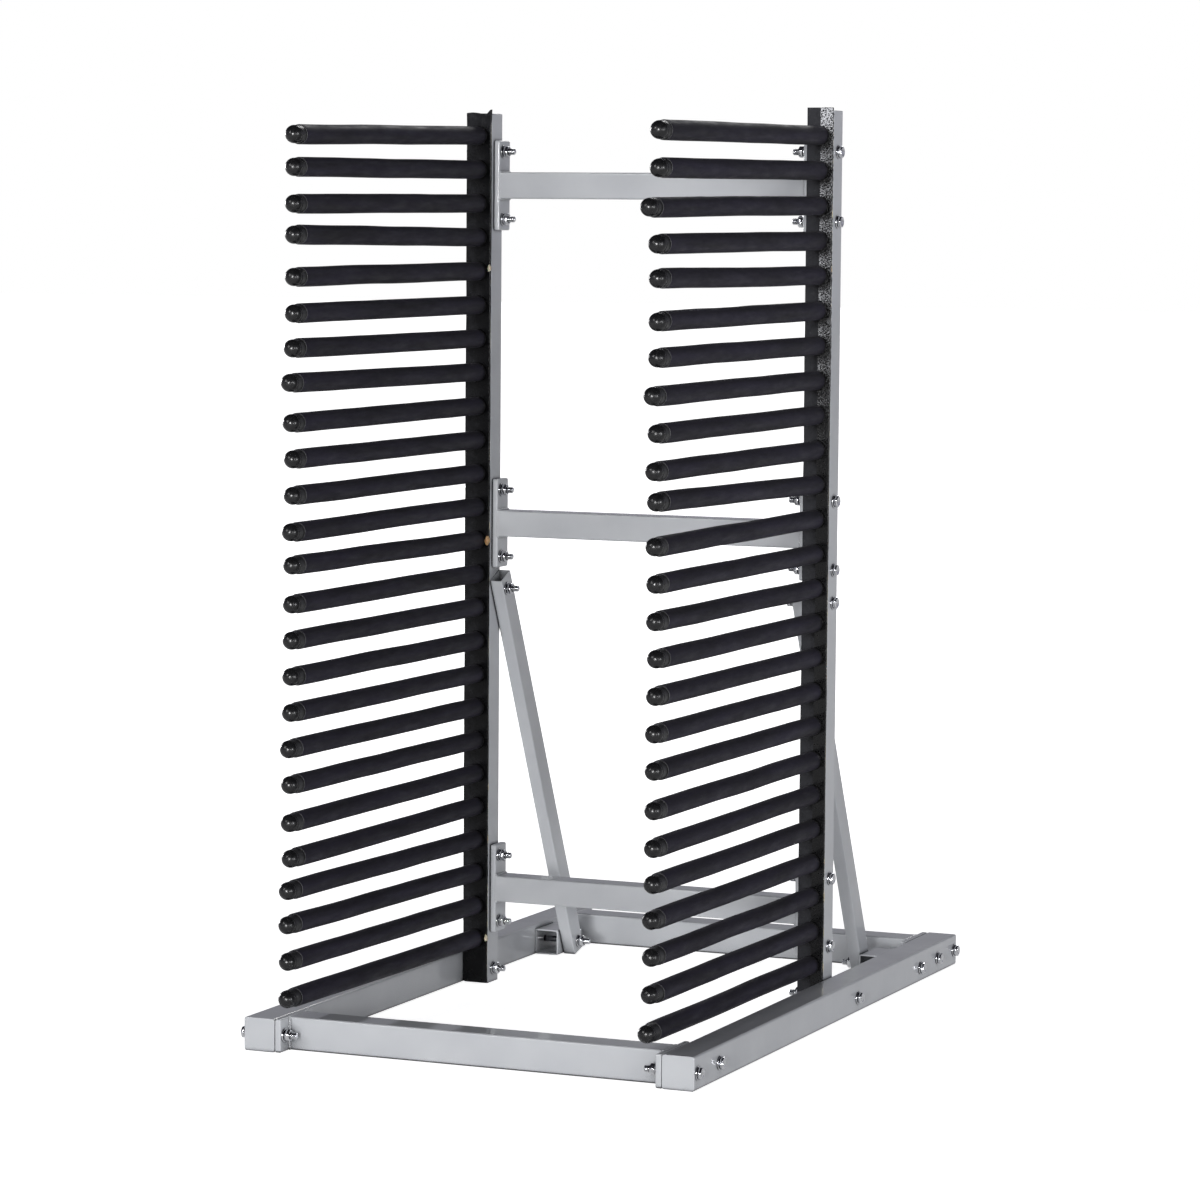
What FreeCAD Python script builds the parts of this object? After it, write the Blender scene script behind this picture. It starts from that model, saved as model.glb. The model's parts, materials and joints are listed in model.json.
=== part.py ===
"""Two-column storage rack: a bolted tube frame with 25 sleeved arms on each upright.

Millimetres, +Z up, +X to the right, arms pointing to -Y.
The origin is on the floor, in the middle of the rack's whole outline.
"""
import FreeCAD, Part
import math
import os
import re

import Sketcher

doc = FreeCAD.newDocument("storage_rack")
sheet = doc.addObject("Spreadsheet::Sheet", "Dimensions")

DIMENSIONS = (
    # base frame of square tube
    ("base_width", 860, "over the outer faces of the side beams"),
    ("base_depth", 1390, "length of a side beam with its end plates"),
    ("beam_size", 60, "side of the square beam tube"),
    ("beam_wall", 3, "wall of the beam tube"),
    ("beam_corner", 4, "outer corner radius of the beam tube"),
    ("end_plate", 3, "plate that closes a beam or an upright"),
    ("plate_round", 1.4, "rounding of an end plate's free edges"),
    # uprights
    ("upright_size", 50, "side of the square upright and cross-member tube"),
    ("upright_wall", 2.5, "wall of that tube"),
    ("upright_corner", 3.5, "outer corner radius of that tube"),
    ("upright_height", 1670, "floor to the top of the left end plate"),
    ("right_spare", 4, "how much taller the right upright and its strip are"),
    ("upright_setback", 790, "base's front end to an upright's front face"),
    # bolted joints of the cross-members
    ("flange_plate", 12, "thickness of a joint flange"),
    ("flange_round", 3, "rounding of a flange's edges"),
    ("flange_corner", 4, "radius of a flange's corners"),
    ("cross_flange_tall", 170, "height of a cross-member's flange"),
    ("cross_bolt_spread", 128, "between the two bolts of that flange"),
    ("cross_setback", 9, "upright's front face to the flange's front edge"),
    ("top_cross_level", 1534, "centre of the top cross-member"),
    ("middle_cross_level", 890, "centre of the middle cross-member"),
    ("lower_cross_level", 184, "centre of the lower cross-member"),
    # bolted joints of the base
    ("beam_flange_long", 130, "length of a base flange along the side beam"),
    ("beam_bolt_spread", 100, "between the two bolts of that flange"),
    ("beam_bolt_level", 30, "height of those bolts"),
    ("foot_bolt_level", 27, "height of the bolts at the foot of uprights and braces"),
    # braces and their spacers
    ("spacer_long", 90, "length of the tube between side beam and brace"),
    ("brace_bolt_setback", 1172, "base's front end to a brace's foot bolt"),
    ("brace_foot_setback", 1156, "base's front end to a brace's lowest corner"),
    ("spacer_rise", 2, "floor to the underside of a spacer"),
    ("brace_wide", 25, "brace tube across the rack"),
    ("brace_deep", 45, "brace tube along its slope"),
    ("brace_wall", 2, "wall of the brace tube"),
    ("brace_corner", 2.5, "outer corner radius of the brace tube"),
    ("brace_long", 859, "length of a brace"),
    ("brace_tilt", 25.1, "degrees between a brace and the vertical"),
    ("brace_foot_rise", 1.5, "floor to a brace's lowest corner"),
    ("brace_foot_trim", 10, "degrees that the brace's foot is cut off square"),
    ("brace_top_bolt_level", 765, "height of the bolt at a brace's top"),
    # rubber strips
    ("strip_thick", 5, "rubber strip on an upright's front face"),
    ("strip_top", 1675, "top of the left strip"),
    ("strip_bottom", 2, "bottom of a strip"),
    ("strip_hole", 33, "hole in a strip for an arm"),
    # arms
    ("arm_count", 25, "arms on an upright"),
    ("arm_pitch", 64.2, "from one arm to the next"),
    ("top_arm_level", 1628, "height of the top arm at its root"),
    ("arm_reach", 786, "upright's front face to the end of a dome"),
    ("reach_spare", 19.5, "most that a dome stands further out"),
    ("arm_size", 32, "diameter of the arm tube"),
    ("arm_wall", 2, "wall of the arm tube"),
    ("arm_bare", 14, "arm tube left bare behind the top arms' domes"),
    ("sleeve_size", 35, "outer diameter of a sleeve"),
    ("sleeve_bore", 32.3, "bore of a sleeve"),
    ("dome_radius", 16, "radius of a dome plug"),
    ("dome_rim", 2.5, "straight rim behind the dome"),
    ("dome_neck", 1, "groove between the rim and the tube"),
    ("neck_spare", 0.4, "neck past the tube's bore, all round"),
    ("stem_long", 24, "part of a dome plug inside the tube"),
    ("stem_slack", 1.5, "gap round the stem in the tube"),
    ("rib_count", 3, "ribs on the stem"),
    ("rib_thick", 1.5, "length of a rib"),
    ("rib_slack", 0.2, "gap round a rib in the tube"),
    # fasteners
    ("thread_size", 12, "bolt diameter"),
    ("bolt_hole", 13, "clearance hole"),
    ("hex_flats", 19, "across the flats of heads and nuts"),
    ("head_tall", 7.5, "bolt head"),
    ("nut_tall", 10.8, "nut"),
    ("washer_size", 24, "washer diameter"),
    ("washer_thick", 2.5, "washer thickness"),
    ("thread_spare", 12, "thread past the nut"),
    ("thread_chamfer", 1.2, "chamfer at a bolt's end"),
)
NAMES = {name for name, _, _ in DIMENSIONS}
for row, (name, number, note) in enumerate(DIMENSIONS, start=1):
    sheet.set(f"A{row}", name)
    sheet.set(f"B{row}", str(number))
    sheet.setAlias(f"B{row}", name)
    sheet.set(f"C{row}", note)
doc.recompute()
size = {name: float(sheet.get(name)) for name in NAMES}


def formula(text):
    """Turn 'base_width / 2' into an expression on the sheet's cells."""
    return re.sub(r"[a-z_]+", lambda word: "Dimensions." + word[0] if word[0] in NAMES else word[0], text)


def bind(thing, target, text):
    """Bind one property of an object to the sheet."""
    thing.setExpression(target, formula(text))


def worth(text):
    """The number that a formula gives now, to draw a sketch near its final size."""
    return float(sheet.evalExpression(formula(text)))


# ---------------------------------------------------------------- places
# Formulas for the places that several pieces share, measured from the origin.
BASE_FRONT = "(arm_reach + reach_spare - upright_setback - base_depth) / 2"
BASE_REAR = f"({BASE_FRONT} + base_depth)"
BEAM_INNER = "(base_width / 2 - beam_size)"
UPRIGHT_INNER = f"({BEAM_INNER} - upright_size)"
UPRIGHT_FRONT = f"({BASE_FRONT} + upright_setback)"
SIDES = (("left", -1), ("right", 1))


def place(piece, across, along, up, turn=None):
    """Give a piece its Placement: three formulas and a rotation."""
    piece.Placement = FreeCAD.Placement(FreeCAD.Vector(), turn or FreeCAD.Rotation())
    bind(piece, "Placement.Base.x", across)
    bind(piece, "Placement.Base.y", along)
    bind(piece, "Placement.Base.z", up)


def low_edge(side, inner, wide):
    """Formula for the lower X of a piece that spans inner to inner + wide on one side."""
    return inner if side > 0 else f"0 - {inner} - {wide}"


LIE_BACK = FreeCAD.Rotation(FreeCAD.Vector(1, 0, 0), -90)   # own Z to rack Y, own Y to rack -Z
LIE_RIGHT = FreeCAD.Rotation(FreeCAD.Vector(0, 1, 0), 90)   # own Z to rack X, own X to rack -Z

# ---------------------------------------------------------------- sketch tools


def new_body(label):
    body = doc.addObject("PartDesign::Body", label)
    body.Label = label
    return body


def new_sketch(body, plane, name):
    sketch = body.newObject("Sketcher::SketchObject", name)
    origin_plane = next(item for item in body.Origin.OriginFeatures if item.Role == plane)
    sketch.AttachmentSupport = [(origin_plane, "")]
    sketch.MapMode = "FlatFace"
    return sketch


def constrain(sketch, name, text, *parts):
    """Add one named dimension to a sketch and bind it to the sheet."""
    index = sketch.addConstraint(Sketcher.Constraint(*parts, worth(text)))
    sketch.renameConstraint(index, name)
    sketch.setExpression("Constraints." + name, formula(text))


def draw_rounded(sketch, name, wide, tall, radius, inset="0"):
    """A rectangle with round corners, its lower left corner at (inset, inset)."""
    low = worth(inset)
    right = low + worth(wide)
    top = low + worth(tall)
    bend = worth(radius)
    point = FreeCAD.Vector
    corners = ((right - bend, low + bend, -90), (right - bend, top - bend, 0),
               (low + bend, top - bend, 90), (low + bend, low + bend, 180))
    starts = ((low + bend, low), (right, low + bend), (right - bend, top), (low, top - bend))
    ends = ((right - bend, low), (right, top - bend), (low + bend, top), (low, low + bend))
    first = sketch.GeometryCount
    for start, end, (x, y, angle) in zip(starts, ends, corners):
        sketch.addGeometry(Part.LineSegment(point(*start, 0), point(*end, 0)))
        circle = Part.Circle(point(x, y, 0), point(0, 0, 1), bend)
        sketch.addGeometry(Part.ArcOfCircle(circle, math.radians(angle), math.radians(angle + 90)))
    bottom, corner, side, top_line, left = first, first + 1, first + 2, first + 4, first + 6
    for step in range(8):
        following = first + (step + 1) % 8
        sketch.addConstraint(Sketcher.Constraint("Tangent", first + step, 2, following, 1))
    for line in (bottom, top_line):
        sketch.addConstraint(Sketcher.Constraint("Horizontal", line))
    for line in (side, left):
        sketch.addConstraint(Sketcher.Constraint("Vertical", line))
    for arc in (corner + 2, corner + 4, corner + 6):
        sketch.addConstraint(Sketcher.Constraint("Equal", corner, arc))
    constrain(sketch, name + "_radius", radius, "Radius", corner)
    constrain(sketch, name + "_wide", wide, "DistanceX", left, 1, side, 1)
    constrain(sketch, name + "_tall", tall, "DistanceY", bottom, 1, top_line, 1)
    if low:
        constrain(sketch, name + "_left", inset, "DistanceX", -1, 1, left, 1)
        constrain(sketch, name + "_low", inset, "DistanceY", -1, 1, bottom, 1)
    else:
        sketch.addConstraint(Sketcher.Constraint("PointOnObject", left, 1, -2))
        sketch.addConstraint(Sketcher.Constraint("PointOnObject", bottom, 1, -1))


def draw_hole(sketch, name, across, up, diameter):
    """A circle whose centre is at two positive distances from the sketch's origin."""
    centre = FreeCAD.Vector(worth(across), worth(up), 0)
    hole = sketch.addGeometry(Part.Circle(centre, FreeCAD.Vector(0, 0, 1), worth(diameter) / 2))
    constrain(sketch, name + "_across", across, "DistanceX", -1, 1, hole, 3)
    constrain(sketch, name + "_up", up, "DistanceY", -1, 1, hole, 3)
    constrain(sketch, name + "_size", diameter, "Diameter", hole)


def pad(body, sketch, length):
    feature = body.newObject("PartDesign::Pad", "Pad")
    feature.Profile = sketch
    bind(feature, "Length", length)
    doc.recompute()
    return feature


def pocket_through(body, sketch):
    """Cut a sketch through the whole body, both ways from its plane."""
    feature = body.newObject("PartDesign::Pocket", "Pocket")
    feature.Profile = sketch
    feature.Type = "ThroughAll"
    feature.Midplane = True
    before = body.Shape.Volume
    doc.recompute()
    if body.Shape.Volume > before - 1:
        raise RuntimeError(body.Label + ": the pocket cut nothing")
    return feature


def round_edges(body, feature, radius, wanted):
    """Fillet the edges of a feature that the test wanted(edge) picks."""
    picked = [f"Edge{number}" for number, edge in enumerate(feature.Shape.Edges, start=1) if wanted(edge)]
    fillet = body.newObject("PartDesign::Fillet", "Fillet")
    fillet.Base = (feature, picked)
    bind(fillet, "Radius", radius)
    doc.recompute()
    return fillet


def tube(label, wide, deep, wall, corner, length, holes=()):
    """A closed-section tube along its own Z, with bolt holes across it along its own X."""
    body = new_body(label)
    section = new_sketch(body, "XY_Plane", label + "_section")
    draw_rounded(section, "outer", wide, deep, corner)
    draw_rounded(section, "inner", f"{wide} - 2 * {wall}", f"{deep} - 2 * {wall}", f"{corner} - {wall}", wall)
    pad(body, section, length)
    if holes:
        drilling = new_sketch(body, "YZ_Plane", label + "_holes")
        for number, (across, up) in enumerate(holes):
            draw_hole(drilling, f"hole{number}", across, up, "bolt_hole")
        pocket_through(body, drilling)
    return body


def plate(label, wide, tall, thick, corner, holes=(), rounding="plate_round", faces=("upper",)):
    """A flat plate in its own XY plane, with the outer edges of the named faces rounded."""
    body = new_body(label)
    outline = new_sketch(body, "XY_Plane", label + "_outline")
    draw_rounded(outline, "edge", wide, tall, corner)
    for number, (across, up) in enumerate(holes):
        draw_hole(outline, f"hole{number}", across, up, "bolt_hole")
    slab = pad(body, outline, thick)
    levels = [{"upper": worth(thick), "lower": 0}[face] for face in faces]

    def outer_edge(edge):
        in_face = any(all(abs(vertex.Z - level) < 1e-6 for vertex in edge.Vertexes) for level in levels)
        return in_face and not (isinstance(edge.Curve, Part.Circle) and edge.isClosed())

    round_edges(body, slab, rounding, outer_edge)
    return body


def flange_of(label, wide, tall, holes):
    """A joint flange: a thick plate with all its outer edges rounded."""
    return plate(label, wide, tall, "flange_plate", "flange_corner", holes, "flange_round", ("upper", "lower"))


# ---------------------------------------------------------------- uprights
UPRIGHT_MIDDLE = "upright_size / 2"
SPARE = {"left": "0", "right": "right_spare"}
CROSS_LEVELS = (("top", "top_cross_level"), ("middle", "middle_cross_level"), ("lower", "lower_cross_level"))


def upright_holes():
    yield UPRIGHT_MIDDLE, "foot_bolt_level"
    yield UPRIGHT_MIDDLE, "brace_top_bolt_level"
    for _, level in CROSS_LEVELS:
        for way in ("+", "-"):
            yield UPRIGHT_MIDDLE, f"{level} {way} cross_bolt_spread / 2"


def make_uprights():
    pieces = []
    for name, side in SIDES:
        across = low_edge(side, UPRIGHT_INNER, "upright_size")
        tube_top = f"upright_height + {SPARE[name]} - end_plate"
        body = tube(name + "_upright", "upright_size", "upright_size", "upright_wall", "upright_corner",
                    tube_top, tuple(upright_holes()))
        place(body, across, UPRIGHT_FRONT, "0")
        cap = plate(name + "_upright_cap", "upright_size", "upright_size", "end_plate", "upright_corner")
        place(cap, across, UPRIGHT_FRONT, tube_top)
        pieces += [body, cap]
    return pieces


# ---------------------------------------------------------------- rubber strips
def make_strips():
    """A flat strip with a row of holes that the arms pass through."""
    pieces = []
    for name, side in SIDES:
        body = new_body(name + "_face_strip")
        outline = new_sketch(body, "XZ_Plane", name + "_strip_outline")
        draw_rounded(outline, "edge", "upright_size", f"strip_top + {SPARE[name]} - strip_bottom", "0.5")
        pad(body, outline, "strip_thick")
        lowest = "top_arm_level - (arm_count - 1) * arm_pitch - strip_bottom"
        hole = new_sketch(body, "XZ_Plane", name + "_strip_hole")
        draw_hole(hole, "arm", UPRIGHT_MIDDLE, lowest, "strip_hole")
        punched = pocket_through(body, hole)
        row = body.newObject("PartDesign::LinearPattern", "Pattern")
        row.Originals = [punched]
        row.Direction = (hole, ["V_Axis"])
        bind(row, "Length", "(arm_count - 1) * arm_pitch")
        bind(row, "Occurrences", "arm_count")
        body.Tip = row
        place(body, low_edge(side, UPRIGHT_INNER, "upright_size"), UPRIGHT_FRONT, "strip_bottom")
        pieces.append(body)
    return pieces


# ---------------------------------------------------------------- cross-members
def make_cross_members():
    """Three tubes between the uprights, each with a welded flange at both ends."""
    pieces = []
    front = f"{UPRIGHT_FRONT} + cross_setback"
    bolt_in = "upright_size / 2 - cross_setback"
    for name, level in CROSS_LEVELS:
        body = tube(name + "_cross_tube", "upright_size", "upright_size", "upright_wall", "upright_corner",
                    f"2 * ({UPRIGHT_INNER} - flange_plate)")
        place(body, f"flange_plate - {UPRIGHT_INNER}", front, f"{level} + upright_size / 2", LIE_RIGHT)
        pieces.append(body)
        holes = [(f"cross_flange_tall / 2 {way} cross_bolt_spread / 2", bolt_in) for way in "+-"]
        for side_name, side in SIDES:
            flange = flange_of(f"{name}_cross_{side_name}_flange", "cross_flange_tall", "upright_size", holes)
            if side < 0:
                place(flange, f"0 - {UPRIGHT_INNER}", front, f"{level} + cross_flange_tall / 2", LIE_RIGHT)
            else:
                turn = FreeCAD.Rotation(FreeCAD.Vector(0, 1, 0), -90)
                place(flange, UPRIGHT_INNER, front, f"{level} - cross_flange_tall / 2", turn)
            pieces.append(flange)
    return pieces


# ---------------------------------------------------------------- base
BEAM_INSET = "(beam_flange_long - beam_size) / 2"
BOLT_INSET = "(beam_flange_long - beam_bolt_spread) / 2"
# Distances of the bolts from the base's front end, with their heights.
BEAM_BOLTS = ((BOLT_INSET, "beam_bolt_level"),
              (f"{BOLT_INSET} + beam_bolt_spread", "beam_bolt_level"),
              (f"base_depth - {BOLT_INSET} - beam_bolt_spread", "beam_bolt_level"),
              (f"base_depth - {BOLT_INSET}", "beam_bolt_level"))
FOOT_BOLT = ("upright_setback + upright_size / 2", "foot_bolt_level")
BRACE_BOLT = ("brace_bolt_setback", "foot_bolt_level")


def make_side_beams():
    pieces = []
    holes = [(f"beam_size - {up}", f"{along} - end_plate") for along, up in (*BEAM_BOLTS, FOOT_BOLT, BRACE_BOLT)]
    for name, side in SIDES:
        across = low_edge(side, BEAM_INNER, "beam_size")
        body = tube(name + "_side_beam", "beam_size", "beam_size", "beam_wall", "beam_corner",
                    "base_depth - 2 * end_plate", holes)
        place(body, across, f"{BASE_FRONT} + end_plate", "beam_size", LIE_BACK)
        rear = plate(name + "_beam_rear_cap", "beam_size", "beam_size", "end_plate", "beam_corner")
        place(rear, across, f"{BASE_REAR} - end_plate", "beam_size", LIE_BACK)
        front = plate(name + "_beam_front_cap", "beam_size", "beam_size", "end_plate", "beam_corner")
        stand = FreeCAD.Rotation(FreeCAD.Vector(1, 0, 0), 90)
        place(front, across, f"{BASE_FRONT} + end_plate", "0", stand)
        pieces += [body, rear, front]
    return pieces


def make_cross_beams():
    """The front and rear beams, each with a welded flange at both ends."""
    pieces = []
    holes = [(f"beam_size - beam_bolt_level", f"{BOLT_INSET}"),
             (f"beam_size - beam_bolt_level", f"{BOLT_INSET} + beam_bolt_spread")]
    for name, front in (("front", BASE_FRONT), ("rear", f"({BASE_REAR} - beam_flange_long)")):
        body = tube(name + "_beam", "beam_size", "beam_size", "beam_wall", "beam_corner",
                    f"2 * ({BEAM_INNER} - flange_plate)")
        place(body, f"flange_plate - {BEAM_INNER}", f"{front} + {BEAM_INSET}", "beam_size", LIE_RIGHT)
        pieces.append(body)
        for side_name, side in SIDES:
            flange = flange_of(f"{name}_beam_{side_name}_flange", "beam_size", "beam_flange_long", holes)
            if side < 0:
                place(flange, f"0 - {BEAM_INNER}", front, "beam_size", LIE_RIGHT)
            else:
                turn = FreeCAD.Rotation(FreeCAD.Vector(0, 1, 0), -90)
                place(flange, BEAM_INNER, front, "0", turn)
            pieces.append(flange)
    return pieces


# ---------------------------------------------------------------- braces
def make_spacers():
    """Open lengths of upright tube that hold a brace's foot in line with its upright."""
    pieces = []
    start = f"{BASE_FRONT} + brace_bolt_setback - spacer_long / 2"
    hole = ("upright_size - (foot_bolt_level - spacer_rise)", "spacer_long / 2")
    for name, side in SIDES:
        body = tube(name + "_brace_spacer", "upright_size", "upright_size", "upright_wall", "upright_corner",
                    "spacer_long", [hole])
        place(body, low_edge(side, UPRIGHT_INNER, "upright_size"), start, "spacer_rise + upright_size", LIE_BACK)
        pieces.append(body)
    return pieces


FOOT_TRIM = "(brace_deep * tan(brace_foot_trim))"
BRACE_BOLTS = (("brace_bolt_setback - brace_foot_setback", "foot_bolt_level - brace_foot_rise"),
               ("upright_setback + upright_size / 2 - brace_foot_setback",
                "brace_top_bolt_level - brace_foot_rise"))


def trim_brace_foot(body):
    """Cut the foot's front corner away, so that the foot lies flatter than square."""
    corner = new_sketch(body, "YZ_Plane", body.Label + "_foot_trim")
    deep, rise = worth("brace_deep"), worth(FOOT_TRIM)
    points = [FreeCAD.Vector(0, 0, 0), FreeCAD.Vector(deep, 0, 0), FreeCAD.Vector(0, rise, 0)]
    for start, end in zip(points, points[1:] + points[:1]):
        corner.addGeometry(Part.LineSegment(start, end))
    for line in range(3):
        corner.addConstraint(Sketcher.Constraint("Coincident", line, 2, (line + 1) % 3, 1))
    corner.addConstraint(Sketcher.Constraint("Coincident", 0, 1, -1, 1))
    corner.addConstraint(Sketcher.Constraint("Horizontal", 0))
    corner.addConstraint(Sketcher.Constraint("Vertical", 2))
    constrain(corner, "deep", "brace_deep", "DistanceX", 0, 1, 0, 2)
    constrain(corner, "rise", FOOT_TRIM, "DistanceY", 2, 2, 2, 1)
    pocket_through(body, corner)


def make_braces():
    """Open-ended flat tubes that lean from the middle of the uprights back to the spacers."""
    foot_y = f"{BASE_FRONT} + brace_foot_setback + {FOOT_TRIM} * sin(brace_tilt)"
    foot_z = f"brace_foot_rise - {FOOT_TRIM} * cos(brace_tilt)"
    lean = FreeCAD.Rotation(FreeCAD.Vector(1, 0, 0), size["brace_tilt"])
    holes = []
    for run, rise in BRACE_BOLTS:
        holes.append((f"({run}) * cos(brace_tilt) + ({rise}) * sin(brace_tilt)",
                      f"({rise}) * cos(brace_tilt) - ({run}) * sin(brace_tilt) + {FOOT_TRIM}"))
    pieces = []
    for name, side in SIDES:
        body = tube(name + "_brace", "brace_wide", "brace_deep", "brace_wall", "brace_corner",
                    f"brace_long + {FOOT_TRIM}", holes)
        trim_brace_foot(body)
        place(body, low_edge(side, f"({UPRIGHT_INNER} - brace_wide)", "brace_wide"), foot_y, foot_z, lean)
        pieces.append(body)
    return pieces


# ---------------------------------------------------------------- arms
# The arms are welded by eye. These are millimetres at the dome, for the arms that are plainly
# off, counted from the top: higher (+) or lower than the rest, further out, and to the right.
BENT = {"left": {1: -7, 4: 10, 7: 3, 8: 7, 13: 5, 20: -4, 21: -4, 22: 3, 23: 6, 24: 5, 25: 2},
        "right": {3: -2, 5: 6, 6: -3, 11: 12, 19: -4, 20: -5, 21: -3, 25: -4}}
PROUD = {"left": {7: 3, 8: 13, 9: 6, 12: 6, 18: 6, 21: -5},
         "right": {3: 15, 4: 4, 8: 15, 10: 9, 12: 5, 15: -6, 16: -3, 22: 6, 23: 5, 24: 9, 25: 12}}
SWAY = {"left": {22: -2, 23: -2}, "right": {3: -11, 8: -2, 25: -4}}


def dome_rise(name, number):
    """The top arms droop a little and the bottom ones climb."""
    return -6 + 0.6 * (number - 1) + BENT[name].get(number, 0)


def dome_reach(name, number):
    """How far a dome's end is from the upright's front face."""
    creep = 5 if name == "right" else -3 + 22 * ((number - 1) / (size["arm_count"] - 1)) ** 2
    return size["arm_reach"] + min(creep + PROUD[name].get(number, 0), size["reach_spare"])


def bare_length(number):
    """Bare tube between a dome and its sleeve: more on the lower arms."""
    return size["arm_bare"] + 0.3 * (number - 1)


def ring(outer, inner, start, end):
    """A round tube along Z between two heights."""
    height = end - start
    base = FreeCAD.Vector(0, 0, start)
    return Part.makeCylinder(outer, height, base).cut(Part.makeCylinder(inner, height, base))


def arm_pose(name, side, number):
    """Placement of an arm: own Z runs from its root on the upright to its dome."""
    root = FreeCAD.Vector(side * worth(f"{UPRIGHT_INNER} + {UPRIGHT_MIDDLE}"), worth(UPRIGHT_FRONT),
                          size["top_arm_level"] - (number - 1) * size["arm_pitch"])
    aim = FreeCAD.Vector(SWAY[name].get(number, 0), -dome_reach(name, number), dome_rise(name, number))
    return FreeCAD.Placement(root, FreeCAD.Rotation(FreeCAD.Vector(0, 0, 1), aim))


def in_front_of(plane_y):
    """A block that fills the space in front of a plane, to cut the arms' roots flush."""
    room = 4000
    return Part.makeBox(room, room, room, FreeCAD.Vector(-room / 2, plane_y - room, -room / 4))


def posed(shape, pose):
    """A copy of a shape at a Placement."""
    fitted = shape.copy()
    fitted.Placement = pose
    return fitted


def make_dome_plug():
    """The moulded plug of an arm: a dome, its rim, a groove and a ribbed stem."""
    parts = []

    def cylinder(label, radius, start, length):
        solid = doc.addObject("Part::Cylinder", label)
        bind(solid, "Radius", radius)
        bind(solid, "Height", length)
        bind(solid, "Placement.Base.z", start)
        parts.append(solid)

    dome = doc.addObject("Part::Sphere", "plug_dome")
    dome.Angle1 = 0
    dome.Angle2 = 90
    bind(dome, "Radius", "dome_radius")
    bind(dome, "Placement.Base.z", "dome_neck + dome_rim")
    parts.append(dome)
    bore = "arm_size / 2 - arm_wall"
    cylinder("plug_rim", "dome_radius", "dome_neck", "dome_rim")
    cylinder("plug_neck", f"{bore} + neck_spare", "0", "dome_neck")
    cylinder("plug_stem", f"{bore} - stem_slack", "0 - stem_long", "stem_long")
    for number in range(int(size["rib_count"])):
        start = f"0 - stem_long * {number + 1} / (rib_count + 1)"
        cylinder(f"plug_rib{number}", f"{bore} - rib_slack", start, "rib_thick")
    plug = doc.addObject("Part::MultiFuse", "plug_pattern")
    plug.Shapes = parts
    doc.recompute()
    return plug


def group(label, solids):
    """Identical pieces in one node, each still a solid of its own."""
    piece = doc.addObject("Part::Feature", label)
    piece.Label = label
    piece.Shape = Part.makeCompound(solids)
    piece.Placement = FreeCAD.Placement()
    return piece


def make_arms():
    plug = make_dome_plug().Shape
    tip = size["dome_radius"] + size["dome_rim"] + size["dome_neck"]
    upright_face = worth(UPRIGHT_FRONT)
    clear_of_upright = in_front_of(upright_face)
    clear_of_strip = in_front_of(upright_face - size["strip_thick"])
    levels = range(1, int(size["arm_count"]) + 1)
    tier_size = 5
    pieces = []
    for name, side in SIDES:
        tubes, plugs, sleeves = [], [], []
        for number in levels:
            pose = arm_pose(name, side, number)
            end = dome_reach(name, number) - tip
            bare = ring(size["arm_size"] / 2, size["arm_size"] / 2 - size["arm_wall"], -5, end)
            tubes.append(posed(bare, pose).common(clear_of_upright).Solids[0])
            stretch = ring(size["sleeve_size"] / 2, size["sleeve_bore"] / 2, -5, end - bare_length(number))
            sleeves.append(posed(stretch, pose).common(clear_of_strip).Solids[0])
            seat = FreeCAD.Placement(FreeCAD.Vector(0, 0, end), FreeCAD.Rotation())
            plugs.append(posed(plug, pose.multiply(seat)).Solids[0])
        pieces.append(group(name + "_arm_tubes", tubes))
        pieces.append(group(name + "_arm_end_plugs", plugs))
        for tier in range(0, len(sleeves), tier_size):
            pieces.append(group(f"{name}_arm_sleeves_tier_{tier // tier_size + 1}", sleeves[tier:tier + tier_size]))
    return pieces


# ---------------------------------------------------------------- fasteners
def hex_block(label, height, chamfer_both):
    """A hexagon prism along Z with its corners chamfered at the upper face, or at both."""
    chamfer_slope = math.sqrt(3)
    face_radius = "hex_flats * 0.475"
    prism = doc.addObject("Part::Prism", label + "_prism")
    prism.Polygon = 6
    bind(prism, "Circumradius", "hex_flats / sqrt(3)")
    bind(prism, "Height", height)
    shapes = [prism]
    for flipped in (False, True) if chamfer_both else (False,):
        cone = doc.addObject("Part::Cone", f"{label}_cone{int(flipped)}")
        wide, narrow = ("Radius2", "Radius1") if flipped else ("Radius1", "Radius2")
        bind(cone, wide, f"{face_radius} + {height} * {chamfer_slope:.4f}")
        bind(cone, narrow, face_radius)
        bind(cone, "Height", height)
        shapes.append(cone)
    block = doc.addObject("Part::MultiCommon", label)
    block.Shapes = shapes
    doc.recompute()
    return block.Shape


def make_bolt(grip):
    """Head at the origin's underside, shank along -Z, long enough for the grip and its nut."""
    radius = size["thread_size"] / 2
    head = hex_head.copy()
    length = grip + 2 * size["washer_thick"] + size["nut_tall"] + size["thread_spare"]
    tip = size["thread_chamfer"]
    shank = Part.makeCylinder(radius, length - tip, FreeCAD.Vector(0, 0, tip - length))
    end = Part.makeCone(radius - tip, radius, tip, FreeCAD.Vector(0, 0, -length))
    return head.fuse([shank, end]).removeSplitter().Solids[0]


def make_nut():
    bore = Part.makeCylinder(size["thread_size"] / 2 + 0.02, size["nut_tall"] * 3,
                             FreeCAD.Vector(0, 0, -size["nut_tall"]))
    return hex_nut.cut(bore).Solids[0]


def make_washer():
    return ring(size["washer_size"] / 2, size["bolt_hole"] / 2, 0, size["washer_thick"])


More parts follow.
